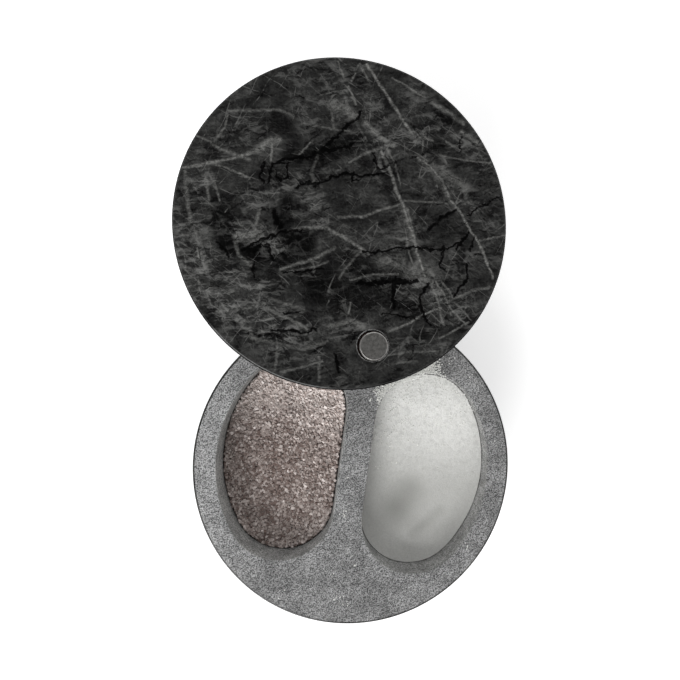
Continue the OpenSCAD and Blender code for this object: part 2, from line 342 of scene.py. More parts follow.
# %% Black cracks of the lid
BLACK_CRACKS = [
    (0.7, 0.53, (-50, 14), (-49, 20), (-45, 24.5), (-40, 27.5)),
    (0.6, 1.0, (-27, 17.5), (-22, 20), (-16, 21), (-11, 25), (-8, 29), (-4, 34), (0, 38.5), (1, 41)),
    (0.8, 0.95, (-14, 23), (-7, 26), (-1, 29)),
    (0.5, 1.0, (-28, 10), (-28, 17), (-22, 18), (-21.5, 13), (-25, 11), (-26, 14)),
    (0.6, 0.95, (-31, 17), (-31.5, 12), (-30, 9.5)),
    (0.5, 1.0, (-17, 11.5), (-10, 12.5), (-6, 16), (-1, 18), (3, 17.5), (7, 19), (12, 20.5)),
    (0.65, 0.95, (-18, 10), (-14, 12.5), (-12, 11.5)), (0.7, 0.63, (14, 24), (17, 26), (22, 28), (25, 30)),
    (0.6, 0.84, (7, 27), (9, 22), (13, 23)), (0.45, 0.95, (1, 18.5), (1, 15), (3.5, 17)),
    (1.3, 0.9, (-25, 1), (-24, -2), (-22, -4)), (0.6, 0.84, (-43, -13), (-38, -18)),
    (0.8, 0.53, (-53, -9), (-46, -7), (-44, -4)),
    (0.65, 0.95, (-34, -15), (-29, -11), (-22, -6.5), (-15, -5)), (1.2, 0.9, (-32, -15), (-28, -12.5)),
    (0.9, 0.89, (-26, -12), (-23, -17)), (0.75, 0.73, (-29.5, -18), (-28.5, -24)),
    (0.45, 0.89, (-19, -21), (-10, -19), (-5, -17)), (0.65, 0.89, (-20, -42), (-10, -41), (-5, -39)),
    (0.95, 0.68, (-28, -43.5), (-20, -43), (-15, -45)), (0.45, 0.84, (-17, -35), (-11, -34)),
    (0.65, 0.53, (-33, -41), (-31, -48)),
    (0.45, 1.0, (8, -9), (16, -8), (24, -5), (30, -4.5), (38, -4), (43, 0), (46, 4)),
    (0.65, 0.84, (37, -3), (37, -10), (39, -11)),
    (0.6, 1.0, (46.5, -8), (47.5, -13), (45, -17), (44, -20)),
    (0.9, 1.0, (8, -20.5), (14, -19.5), (21, -18), (29, -16.5)), (0.9, 1.0, (21, -17), (22, -27)),
    (0.65, 0.89, (33, -17), (31, -22), (32, -27), (36, -32)), (0.45, 0.84, (18, -30), (30, -30)),
    (0.6, 0.73, (24, -28), (30, -25)), (1.0, 0.8, (40, 11), (35, 7.5), (31, 3)),
    (0.65, 0.89, (46, 4), (43.5, 0), (41.5, -3)), (0.6, 0.84, (48, 2), (47, -3)),
    (0.45, 0.79, (44, 10), (50, 15), (55, 19)), (2.2, 0.5, (41, 17), (42.5, 14)),
    (0.45, 0.63, (50, 19), (55, 22)), (0.75, 0.53, (24, 49), (22.5, 44)),
    (0.45, 0.73, (38, 38), (38.5, 33)), (0.8, 0.84, (3, -47), (5.5, -54)),
    (0.7, 0.63, (10, -38), (8, -43)), (0.5, 0.63, (31, -40), (30, -46)),
    (2.0, 0.45, (-4, 49.5), (3, 48.5)),
]
DARK_PATCHES = [
    (9.0, 0.75, (-17, -18), (-6, -23), (4, -25)), (7.0, 0.75, (4, -12), (10, -18), (20, -18)),
    (7.0, 0.7, (8, -28), (20, -25), (30, -27)), (5.0, 0.75, (-22, 20), (-8, 25), (1, 31)),
    (5.0, 0.7, (-34, 31), (-26, 30)), (4.5, 1.0, (-44, 0), (-41, -7), (-38, -14)),
    (4.5, 0.85, (-19, -8), (-13, -8)), (5.5, 1.0, (-30, -14), (-22, -13), (-14, -10)),
    (3.0, 0.8, (-21, 5), (-20, -1), (-23, -4)), (3.5, 0.7, (-29, 15), (-22, 12)),
    (5.0, 0.65, (-30, -44), (-8, -44)), (4.0, 0.65, (36, 6), (44, 2), (46, -8)),
    (4.0, 0.6, (-12, 14), (6, 18)), (4.0, 0.5, (26, 34), (32, 33)), (5.0, 0.6, (33, -36), (39, -34)),
    (3.0, 0.6, (4, -46), (6, -54)),
]
print("runs of veins:", sum(len(line) - 3 for line in LIGHT_VEINS + BLACK_CRACKS + DARK_PATCHES))

# %% [markdown]
# Used as drawn, the lines would look ruled, so noise stirs the coordinates first: a slow stir bends
# them, and a finer one frays or tears them. Drawn out along one direction, they give streaks. The lean
# carries each line down at a slant, so it goes on down the side.

# %% The flow of the stone
LEAN = (0.45, 0.3, 0.0)
SWEEP_DEG = -16


def stirred(place, point, size_mm, reach_mm, detail):
    """Moves a point sideways by up to a reach, as noise at a place says."""
    stir = patches(place, size_mm, detail, 0.6).outputs["Color"]
    off = add("VectorMath", {0: stir, 1: (0.5, 0.5, 0.5)}, operation="SUBTRACT")
    reach = (2 * reach_mm, 2 * reach_mm, 0)
    return add("VectorMath", {0: off, 1: reach, 2: point}, operation="MULTIPLY_ADD")


def flow_of_stone(shader, middle, turn):
    """Places to read the marble's patterns at, stirred in several ways."""
    place = in_mm(shader, middle, turn)
    height = add("SeparateXYZ", {"Vector": place}).outputs["Z"]
    lean = add("VectorMath", {0: LEAN, "Scale": height}, operation="SCALE")
    flat = add("VectorMath", {0: place, 1: (1, 1, 0)}, operation="MULTIPLY")
    leaned = add("VectorMath", {0: flat, 1: lean}, operation="ADD")
    bent = stirred(place, leaned, 9.0, 1.0, 3.0)
    loose = stirred(place, bent, 3.2, 1.3, 4.0)
    turned = add("VectorRotate", {"Vector": loose, "Angle": math.radians(SWEEP_DEG)})
    swept = add("VectorMath", {0: turned, 1: (0.4, 1, 1)}, operation="MULTIPLY")
    return SimpleNamespace(
        place=place, bent=bent, loose=loose, swept=swept,
        frayed=stirred(place, bent, 1.3, 0.45, 3.0),
        torn=stirred(place, bent, 2.6, 1.9, 5.0),
        streaks=patches(swept, 2.8, 8.0, 0.74),
    )


# %% [markdown]
# A field cut off at a level after noise was added has a torn edge, as the stains and cracks have. And
# where a stretched noise passes its middle value there are thin wavering lines, for the threads and
# hair cracks that are too many to draw.

# %% Torn edges and threads
def ragged(field, noise_value, share, low, high):
    """Cuts a soft field off between two levels after noise has shifted it."""
    shift = add("Math", {0: noise_value, 1: share, 2: -0.5 * share}, operation="MULTIPLY_ADD")
    torn = combined("ADD", field, shift)
    return add("MapRange", {"Value": torn, "From Min": low, "From Max": high}, **SOFT_ENDS)


def wisps(point, *lines):
    """Thin wavering lines. Each set has its direction in degrees, size in mm and width."""
    found = []
    for turn_deg, size_mm, width in lines:
        turned = add("VectorRotate", {"Vector": point, "Angle": math.radians(turn_deg)})
        drawn_out = add("VectorMath", {0: turned, 1: (0.15, 1, 1)}, operation="MULTIPLY")
        wave = patches(drawn_out, size_mm, 1.0, 0.5)
        off = add("Math", {0: combined("ADD", wave, -0.5)}, operation="ABSOLUTE")
        found.append(add("MapRange", {
            "Value": off, "From Max": width, "To Min": 1.0, "To Max": 0.0,
        }, **SOFT_ENDS))
    return combined("MAXIMUM", *found)


# %% [markdown]
# Polished black marble is a dark ground under a clear shine. It is built up as the stone was: clouds,
# mottle and dark stains, pale feathery streaks, healed white veins, and black cracks last.

# %% Polished black marble
def dark_ground(flow):
    """Grey clouds, a fine mottle, soot, and the stains that are drawn."""
    clouds = patches(flow.bent, 12.0, 6.0, 0.65, (0.36, 0.66))
    mottle = patches(flow.place, 1.0, 5.0, 0.78, (0.34, 0.66))
    soot = patches(flow.swept, 5.0, 8.0, 0.74, (0.5, 0.68))
    stains = ragged(veins(flow.bent, DARK_PATCHES), flow.streaks, 2.2, 0.3, 0.7)
    ground = layer("#191919", "#3f3f3e", clouds)
    ground = layer(ground, "#0c0c0c", mottle, 0.7)
    ground = layer(ground, "#060606", soot)
    return layer(ground, "#040404", stains, 0.92)


def pale_streaks(flow, ground):
    """Feathers and threads of calcite, mostly where they are drawn, and a few hair lines."""
    zones = patches(flow.place, 15.0, 3.0, 0.6, (0.4, 0.62), (0.1, 0.4))
    near = combined("MAXIMUM", zones, veins(flow.bent, PALE_PATCHES))
    feathers, broken = (
        add("MapRange", {"Value": flow.streaks, "From Min": low, "From Max": high}, **SOFT_ENDS)
        for low, high in ((0.46, 0.7), (0.4, 0.6))
    )
    threads = wisps(flow.loose, (-14, 4.5, 0.03), (38, 6.0, 0.025), (68, 6.0, 0.016))
    plumes = combined("MAXIMUM", feathers, combined("MULTIPLY", threads, broken))
    ground = layer(ground, "#7b7b79", combined("MULTIPLY", plumes, near))
    gate = patches(flow.place, 7.0, 4.0, 0.7, (0.45, 0.62))
    lines = wisps(flow.bent, (24, 10.0, 0.007), (112, 12.0, 0.006))
    return layer(ground, "#747472", combined("MULTIPLY", lines, gate), 0.6)


def white_veins(flow, ground):
    """The light veins that are drawn: soft bundles of strands, worn away in places."""
    worn = patches(flow.place, 1.2, 6.0, 0.78, (0.36, 0.62), (0.2, 1.0))
    strands = patches(flow.swept, 1.1, 5.0, 0.75, (0.4, 0.6), (0.45, 1.1))
    drawn = veins(flow.frayed, LIGHT_VEINS)
    return layer(ground, "#8c8c89", combined("MULTIPLY", drawn, worn, strands))


def black_cracks(flow, ground):
    """The cracks that are drawn, with torn edges, and finer ones in places."""
    rough = patches(flow.bent, 2.2, 8.0, 0.8)
    drawn = ragged(veins(flow.torn, BLACK_CRACKS), rough, 1.8, 0.3, 0.8)
    gate = patches(flow.bent, 8.0, 5.0, 0.7, (0.46, 0.6), (0.0, 0.8))
    fine = combined("MULTIPLY", wisps(flow.loose, (-35, 9.0, 0.02), (10, 7.0, 0.02)), gate)
    return layer(ground, "#020202", combined("MAXIMUM", drawn, fine), 0.96)


def polished_marble(name, middle, turn=0.0):
    """Black marble with the lid's veins about a middle point. Polish gives it a clear, dark shine."""
    material, shader = new_material(name, Roughness=0.14, IOR=1.49, Specular_IOR_Level=0.35)
    flow = flow_of_stone(shader, middle, turn)
    colour = dark_ground(flow)
    for marks in (pale_streaks, white_veins, black_cracks):
        colour = marks(flow, colour)
    dress(shader, colour)
    print(name, "nodes", len(shader.id_data.nodes))
    return material


MARBLE_LID = polished_marble("polished_black_marble", (LID_MID.x, LID_MID.y, LID_HIGH.z))
MARBLE_SIDE = polished_marble("polished_black_marble_block", (0, 0, RIM_Z), math.radians(140))

# %% [markdown]
# The block's top and pockets are honed: ground flat and left matt. The scratches of the grit scatter
# light, so the same black stone looks mid grey there, with a grain of half a millimetre that is
# stretched where the grit was drawn across. Its tone varies in slow patches, and painted shade makes
# it darker towards the right and the front.

# %% Honed marble
GRAIN_MM = 0.5
STROKE_MM = 0.9
STROKE_DEG = 50
HONED_PAINTED_SHADE = [("X", -62.0, -24.0, 0.22), ("X", 20.0, 55.0, 0.04), ("Y", -25.0, -60.0, 0.08)]


def honed_marble(name, dark, light, depth_mm):
    """Matt ground stone between two greys. Honing gives it a dry, even grain and no shine."""
    material, shader = new_material(name, Roughness=0.75, Specular_IOR_Level=0.3)
    place = in_mm(shader)
    turned = add("VectorRotate", {"Vector": place, "Angle": math.radians(STROKE_DEG)})
    drawn = add("VectorMath", {0: turned, 1: (1, 0.5, 1)}, operation="MULTIPLY")
    marks = []
    for point, size_mm, share in ((place, GRAIN_MM, 0.72), (drawn, STROKE_MM, 0.28)):
        marks.append(combined("MULTIPLY", patches(point, size_mm, 2.0, 0.8), share))
    ground = combined("ADD", *marks)
    levels = add("MapRange", {"Value": ground, "From Min": 0.41, "From Max": 0.59}, **SOFT_ENDS)
    slow = patches(place, 7.0, 6.0, 0.7, (0.34, 0.66), (0.0, 0.4))
    # Painted shade: the stone is made darker towards the right and the front.
    for axis, start, end, share in HONED_PAINTED_SHADE:
        slow = combined("ADD", slow, slope(place, axis, start, end, 0.0, share))
    toned = add("Mix", {
        "Factor": slow, "A": layer(dark, light, levels), "B": srgb("#7c7c7c"),
    }, data_type="RGBA", blend_type="MULTIPLY")
    dress(shader, toned, ground, depth_mm)
    return material


HONED = honed_marble("honed_black_marble", "#4c4c4c", "#cacaca", 0.06)
# Painted light: the pockets' stone gets lighter greys than the top.
HONED_WALL_LIGHTENED = honed_marble("honed_pocket_wall_painted_light", "#727271", "#cbcbc9", 0.02)
print("grain mm", GRAIN_MM, "strokes mm", STROKE_MM)

# %% [markdown]
# Some finishes are two tones in soft patches, and one function makes them: the wax on the lid's edge,
# the fibre of bush and washer, the sleeve's brass and the grains of fine salt.

# %% Finishes of two tones
def mottled(name, dark, light, size_mm, detail, roughness, levels=None, hill_mm=0.0, **numbers):
    """Two tones in patches of a size, with the lighter ones raised by the hills."""
    material, shader = new_material(name, **numbers)
    marks = patches(in_mm(shader), size_mm, detail, roughness, levels)
    dress(shader, layer(dark, light, marks), marks, hill_mm)
    return material


# Black wax takes the shine off the ground stone, and is slightly greyer where it is worn.
BLACK_EDGE = mottled(
    "waxed_black_edge", "#080808", "#1a1a19", 1.5, 4.0, 0.7, (0.5, 0.75),
    Roughness=0.6, Specular_IOR_Level=0.05,
)
# Vulcanised fibre: reddish brown, with short darker flecks that can just be felt.
FIBRE = mottled(
    "pressed_brown_fibre", "#3a1f19", "#5a342a", 0.5, 3.0, 0.6, (0.35, 0.65), 0.01, Roughness=0.6,
)
# Brass as it leaves the lathe: yellow metal, a little dulled.
BRASS = mottled("turned_brass", "#c29a4b", "#a8823c", 3.0, 4.0, 0.6, Metallic=1.0, Roughness=0.35)
# Refined salt: small clear cubes that look white, some of them a little greyer.
FINE_GRAIN = mottled(
    "fine_salt_grain", "#dcdcd8", "#fafaf6", 0.4, 2.0, 0.6, (0.36, 0.64), Roughness=0.35, IOR=1.54,
)
print("finishes so far:", len(bpy.data.materials))

# %% [markdown]
# The pin is stainless steel. Its head was faced on a lathe, which leaves rings too fine to count, so
# they are drawn as fine as shows. A metal is as dark as what it mirrors. The pad is cork, granules of
# 1 to 2 mm pressed to a sheet.

# %% Steel and cork
CORK_MM = 1.6


def turned_steel():
    """Steel with lathe rings about the pin's axis: a grey mirror, blurred across the rings."""
    material, shader = new_material("turned_stainless_steel", Metallic=1.0, Roughness=0.32)
    place = in_mm(shader, PIN_AXIS)
    rings = add("TexWave", {
        "Vector": place, "Scale": 0.9, "Distortion": 1.5, "Detail": 3.0, "Detail Scale": 2.0,
    }, wave_type="RINGS", rings_direction="Z")
    stain = patches(place, 1.2, 6.0, 0.75, (0.38, 0.62))
    dress(shader, layer("#b4b2ae", "#e2e0dc", stain), rings, 0.004)
    return material


def pressed_cork():
    """Pressed cork: warm brown cells with dark bark between."""
    material, shader = new_material("pressed_cork", Roughness=0.85, Specular_IOR_Level=0.2)
    cell = {"Vector": in_mm(shader), "Scale": 1 / CORK_MM}
    shade = add("SeparateColor", {"Color": add("TexVoronoi", cell).outputs["Color"]})
    seams = add("MapRange", {
        "Value": add("TexVoronoi", cell, feature="DISTANCE_TO_EDGE"),
        "From Max": 0.12, "To Min": 1.0, "To Max": 0.0,
    }, **SOFT_ENDS)
    colour = layer("#a87c52", "#c79b6c", shade)
    colour = layer(colour, "#5c3f29", seams, 0.7)
    dress(shader, colour, combined("MULTIPLY", seams, -1.0), 0.08)
    return material


STEEL, CORK = turned_steel(), pressed_cork()

# %% [markdown]
# Salt is clear, and looks white only because each face turns some light back. The coarse salt is rock
# salt with a trace of iron: each crystal has its own tone, from smoky pink to nearly white, stored on
# it as one number, about a mean that is painted shade and light. The fine salt has painted shade,
# greyer towards the front and in its hollows, and painted light along the front wall. It lies in
# clumps where it was poured.

# %% Salt
# Hollows of the fine salt that get painted shade: half width in mm, strength and points.
PAINTED_HOLLOW_SHADE = [(6.0, 0.3, (24, -9), (21, -16)), (2.0, 0.14, (28, -26), (37, -15.6))]


def coarse_salt_crystal():
    """Pink rock salt: each crystal carries its own tone, and its cleaved faces glint."""
    material, shader = new_material("rock_salt_crystal", Roughness=0.28, IOR=1.54)
    tone = add("Attribute", {}, shader.id_data, attribute_name="tone").outputs["Fac"]
    veil = patches(in_mm(shader), 0.6, 3.0, 0.6)
    dress(shader, layer(layer("#7b6b65", "#f6ece7", tone), "#b6a29b", veil, 0.3))
    return material


def packed_salt(name, dark, light, grain_mm, depth_mm, shaded_hollows=None):
    """Packed grains under the loose ones: matt, with painted shade in the hollows that are given."""
    material, shader = new_material(name, Roughness=0.7, IOR=1.54, Specular_IOR_Level=0.3)
    place = in_mm(shader)
    cells = add("TexVoronoi", {"Vector": place, "Scale": 1 / grain_mm}).outputs
    colour = layer(dark, light, add("SeparateColor", {"Color": cells["Color"]}))
    if shaded_hollows:
        clumps = combined(
            "MULTIPLY", patches(place, 2.2, 5.0, 0.8, (0.45, 0.65)),
            slope(place, "Y", -12.0, 2.0, 0.12, 0.3),
        )
        # Painted shade: greyer from the back towards the front and along the hollows, and painted light
        # that makes it paler again along the front wall.
        grey = combined(
            "ADD", slope(place, "Y", 28.0, -8.0, 0.0, 0.56),
            slope(place, "Y", -22.0, -32.0, 0.0, -0.24), veins(place, shaded_hollows),
        )
        colour = layer(layer(colour, "#a9a9a6", clumps), "#8e8e8a", grey)
    dress(shader, colour, combined("MULTIPLY", cells["Distance"], -1.0), depth_mm)
    return material


CRYSTAL = coarse_salt_crystal()
COARSE_BED = packed_salt("packed_rock_salt", "#6a5a55", "#9f8d87", 1.1, 0.3)
FINE_BED = packed_salt("packed_fine_salt", "#e6e6e2", "#f5f5f2", 0.4, 0.06, PAINTED_HOLLOW_SHADE)
print("materials:", len(bpy.data.materials))

# %% [markdown]
# Most of the cellar is round, so its pieces are turned: a line of points beside an axis is spun once
# about it. The flat faces between such bands are filled from the open edges at one height.

# %% Helpers for turned pieces
TURN_STEPS = 160
HOLE_STEPS = 64
SMALL_STEPS = 96
SAME_HEIGHT = 1e-6
SAME_POINT = 1e-7


def spin_line(bm, axis, line, steps=TURN_STEPS):
    """Spins a line of (radius, height) points about an upright axis."""
    verts = [bm.verts.new((axis.x + radius, axis.y, height)) for radius, height in line]
    edges = [bm.edges.new(pair) for pair in zip(verts, verts[1:])]
    bmesh.ops.spin(
        bm, geom=verts + edges, cent=(axis.x, axis.y, 0), axis=(0, 0, 1),
        angle=math.tau, steps=steps, use_merge=True,
    )


def fill_level(bm, height):
    """Fills the flat space between the open edges at a height, but not its holes."""
    edges = [
        e for e in bm.edges if e.is_boundary and all(abs(v.co.z - height) < SAME_HEIGHT for v in e.verts)
    ]
    bmesh.ops.triangle_fill(bm, edges=edges, use_beauty=True)


def quarter(radius, height, size, from_deg, steps=5):
    """Points of a quarter circle of a size about (radius, height)."""
    turns = [math.radians(from_deg + 90 * k / steps) for k in range(steps + 1)]
    return [(radius + size * math.cos(t), height + size * math.sin(t)) for t in turns]


def new_piece(name, bm, materials, body, slot):
    """Turns a bmesh into a piece that rides on a body."""
    mesh = bpy.data.meshes.new(name)
    bm.to_mesh(mesh)
    bm.free()
    for material in materials:
        mesh.materials.append(material)
    piece = placed(name, mesh)
    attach(piece, body)
    print(name, "triangles", sum(len(p.vertices) - 2 for p in mesh.polygons))
    return piece


def finish_piece(name, bm, materials, body, slot, node, sharp_deg=40):
    """A closed piece with crisp edges that stands for a CAD node."""
    bmesh.ops.remove_doubles(bm, verts=bm.verts, dist=SAME_POINT)
    bmesh.ops.recalc_face_normals(bm, faces=bm.faces)
    print(name, "open edges", sum(1 for e in bm.edges if not e.is_manifold))
    for face in bm.faces:
        face.smooth = True
    piece = new_piece(name, bm, materials, body, slot)
    piece.data.set_sharp_from_angle(angle=math.radians(sharp_deg))
    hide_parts(node)
    return piece


# %% [markdown]
# The lid is a slab turned to a disc. Each edge was broken by hand, which leaves two narrow facets: the
# flatter one catches the lamp as a thin line, and the steeper one, black with wax, outlines the lid.
# A bevel would make them equal, so they are in the turned line. The hole for the pin's head is a third
# of a millimetre off the axis, and its ground chamfer shows light grey. A narrower one goes through.

# %% Stone lid
HEAD_HOLE_R = 5.65 * MM
HOLE_CHAMFER = 0.35 * MM
ARRIS = [(0.75 * MM, 0), (0.38 * MM, 0.19 * MM), (0, 0.62 * MM)]
HOLE_MID = PIN_AXIS + Vector((-0.28, 0.21, 0)) * MM
FLANGE_T = 1 * MM
HEAD_HOLE_Z = BUSH_HIGH.z - FLANGE_T
BUSH_R = 4.5 * MM
RIM_ZONE = 2 * MM
UPRIGHT, STEEP, SLOPED = 0.2, 0.7, 0.9
POLISHED, WAXED, GROUND = 0, 1, 2

bm = bmesh.new()
spin_line(bm, LID_MID, [
    *[(LID_R - inward, LID_LOW.z + drop) for inward, drop in ARRIS],
    *[(LID_R - inward, LID_HIGH.z - drop) for inward, drop in ARRIS[::-1]],
])
spin_line(bm, HOLE_MID, [
    (HEAD_HOLE_R + HOLE_CHAMFER, LID_HIGH.z),
    (HEAD_HOLE_R, LID_HIGH.z - HOLE_CHAMFER),
    (HEAD_HOLE_R, HEAD_HOLE_Z),
], HOLE_STEPS)
spin_line(bm, PIN_AXIS, [(BUSH_R, HEAD_HOLE_Z), (BUSH_R, LID_LOW.z)], HOLE_STEPS)
for height in (LID_HIGH.z, HEAD_HOLE_Z, LID_LOW.z):
    fill_level(bm, height)
bmesh.ops.recalc_face_normals(bm, faces=bm.faces)
for face in bm.faces:
    outward = face.calc_center_median() - LID_MID
    on_rim = outward.xy.length > LID_R - RIM_ZONE
    limit, finish = (STEEP, WAXED) if on_rim else (SLOPED, GROUND)
    face.material_index = finish if UPRIGHT < abs(face.normal.z) < limit else POLISHED
finish_piece("stone_lid", bm, [MARBLE_LID, BLACK_EDGE, HONED], "lid", "polished_stone", "lid", sharp_deg=20)

# %% [markdown]
# A pocket's outline is an arc about the block's middle, a straight web and two round corners. Spinning
# one vertex about each centre draws it. The pocket is a stack of such outlines: a small lip that the
# grinder left, a straight wall, and a foot that curves in to the floor.

# %% Outline of a pocket
CORNER_X = WEB_W / 2 + CORNER_R
CORNER_Y = math.sqrt((POCKET_R - CORNER_R) ** 2 - CORNER_X ** 2)
CORNER_ANGLE = math.atan2(CORNER_Y, CORNER_X)
POCKET_MID_X = (WEB_W / 2 + POCKET_R) / 2
POCKET_ARCS = [
    ((0, 0, 0), 2 * CORNER_ANGLE, 28),
    ((CORNER_X, CORNER_Y, 0), math.pi - CORNER_ANGLE, 24),
    ((CORNER_X, -CORNER_Y, 0), math.pi - CORNER_ANGLE, 24),
]


def pocket_outline(bm, height, inset):
    """Edges of the +X pocket's outline, drawn in from its walls by inset."""
    before = set(bm.edges)
    radius = POCKET_R - inset
    first = bm.verts.new((radius * math.cos(CORNER_ANGLE), -radius * math.sin(CORNER_ANGLE), height))
    last = first
    for centre, angle, steps in POCKET_ARCS:
        if centre[1] < 0:
            web_end = bm.verts.new((last.co.x, -CORNER_Y, height))
            bm.edges.new((last, web_end))
            last = web_end
        spun = bmesh.ops.spin(bm, geom=[last], cent=centre, axis=(0, 0, 1), angle=angle, steps=steps)
        last = next(g for g in spun["geom_last"] if isinstance(g, bmesh.types.BMVert))
    bmesh.ops.pointmerge(bm, verts=[first, last], merge_co=first.co)
    return [e for e in bm.edges if e not in before]


print("pocket width mm", round((POCKET_R - WEB_W / 2) / MM, 1))

# %% [markdown]
# The block is one piece with three finishes. Its side and rounded edge are polished black like the
# lid, its top is honed, and its pockets are the same honed stone in lighter greys: painted light
# for the light that doesn't reach into them.

# %% Stone body
PIN_HOLE_STEPS = 48
SIDE, TOP, POCKET = 0, 1, 2
SIDE_ZONE = 1.1 * EDGE_R
TOP_ZONE = 0.01 * MM

bm = bmesh.new()
spin_line(bm, Vector(), [
    *quarter(BODY_R - EDGE_R, BODY_LOW.z + EDGE_R, EDGE_R, -90),
    *quarter(BODY_R - EDGE_R, RIM_Z - EDGE_R, EDGE_R, 0),
])
spin_line(bm, PIN_AXIS, [(BUSH_R, RIM_Z), (BUSH_R, SLEEVE_LOW.z)], PIN_HOLE_STEPS)
lip = quarter(-LIP_R, RIM_Z - LIP_R, LIP_R, 0, 3)[::-1]
foot = quarter(FOOT_R, FLOOR_Z + FOOT_R, FOOT_R, 180, 6)
for side in (1, -1):
    before = set(bm.verts)
    rings = [pocket_outline(bm, height, inset) for inset, height in lip + foot]
    for upper, lower in zip(rings, rings[1:]):
        bmesh.ops.bridge_loops(bm, edges=upper + lower)
    made = [v for v in bm.verts if v not in before]
    bmesh.ops.scale(bm, vec=(side, 1, 1), verts=made)
for height in (RIM_Z, FLOOR_Z, BODY_LOW.z, SLEEVE_LOW.z):
    fill_level(bm, height)
for face in bm.faces:
    middle = face.calc_center_median()
    if middle.xy.length > BODY_R - SIDE_ZONE:
        face.material_index = SIDE
    elif middle.z > RIM_Z - TOP_ZONE or middle.z < FLOOR_Z - MM:
        face.material_index = TOP
    else:
        face.material_index = POCKET
finish_piece("stone_body", bm, [MARBLE_SIDE, HONED, HONED_WALL_LIGHTENED], "base", "honed_stone", "body")

# %% [markdown]
# The pin, bush, washer, sleeve and pad are turned too. A ring's outline is closed, and a solid one's
# begins and ends on the axis, so the spin closes both. The pin's head has a flat, narrow chamfer, which
# catches the lamp as a thin ring.

# %% Turned small parts
PIN_CHAMFER_W = 0.32 * MM
PIN_CHAMFER_H = 0.08 * MM
HEAD_R = PIN_HIGH.x - PIN_AXIS.x
HEAD_PLAY = 0.1 * MM
HEAD_Z = BUSH_HIGH.z + HEAD_PLAY
SHANK_R = 3 * MM
BORE_R = 3.05 * MM
WASHER_R = WASHER_HIGH.x - PIN_AXIS.x
WASHER_BORE_R = 3.2 * MM
PAD_R = PAD_HIGH.x
PAD_ROUND = 0.5 * MM


def turned(name, axis, outline, material, body, slot, node):
    """A piece spun from an outline, which is closed first unless it ends on the axis."""
    bm = bmesh.new()
    if outline[0][0] > 0:
        outline = outline + outline[:1]
    spin_line(bm, axis, outline, SMALL_STEPS)
    finish_piece(name, bm, [material], body, slot, node, sharp_deg=10)


turned("steel_pin", PIN_AXIS, [
    (0, PIN_LOW.z), (SHANK_R, PIN_LOW.z), (SHANK_R, HEAD_Z), (HEAD_R, HEAD_Z),
    (HEAD_R, PIN_HIGH.z - PIN_CHAMFER_H), (HEAD_R - PIN_CHAMFER_W, PIN_HIGH.z), (0, PIN_HIGH.z),
], STEEL, "base", "pin_steel", "pivot_pin")
turned("fibre_bush", PIN_AXIS, [
    (BORE_R, BUSH_LOW.z), (BUSH_R, BUSH_LOW.z), (BUSH_R, HEAD_HOLE_Z), (HEAD_HOLE_R, HEAD_HOLE_Z),
    (HEAD_HOLE_R, BUSH_HIGH.z), (BORE_R, BUSH_HIGH.z),
], FIBRE, "lid", "brown_fibre", "lid_bush")
turned("fibre_washer", PIN_AXIS, [
    (WASHER_BORE_R, WASHER_LOW.z), (WASHER_R, WASHER_LOW.z),
    (WASHER_R, WASHER_HIGH.z), (WASHER_BORE_R, WASHER_HIGH.z),
], FIBRE, "base", "brown_fibre", "thrust_washer")
turned("brass_sleeve", PIN_AXIS, [
    (SHANK_R, SLEEVE_LOW.z), (BUSH_R, SLEEVE_LOW.z), (BUSH_R, SLEEVE_HIGH.z), (SHANK_R, SLEEVE_HIGH.z),
], BRASS, "base", "anchor_brass", "anchor_sleeve")
turned("cork_pad", Vector(), [
    (0, PAD_LOW.z), (PAD_R, PAD_LOW.z), *quarter(PAD_R - PAD_ROUND, PAD_HIGH.z - PAD_ROUND, PAD_ROUND, 0),
    (0, PAD_HIGH.z),
], CORK, "base", "pad_cork", "base_pad")

# %% [markdown]
# A ray cast straight down on the frame's solid gives the salt's height at any place, or nothing outside
# the pocket. A bed is a fine grid over the pocket, cut by an upright plane along each edge of the
# outline, dropped on that height and smoothed. The coarse one lies lower, under the loose crystals.

# %% Salt beds
SALT_GAP = 0.3 * MM
BED_DROP = 0.8 * MM
FOOT_SHARE = 0.7


def surface_of(mesh, side):
    """Function for the height of a salt's top, after a move by inset towards the middle."""
    tree = BVHTree.FromPolygons([v.co for v in mesh.vertices], [p.vertices for p in mesh.polygons])
    middle = Vector((side * POCKET_MID_X, 0))

    def height(x, y, inset):
        place = Vector((x, y))
        place += (middle - place).normalized() * inset
        hit = tree.ray_cast(Vector((*place, 1)), Vector((0, 0, -1)))[0]
        return hit and hit.z
    return height


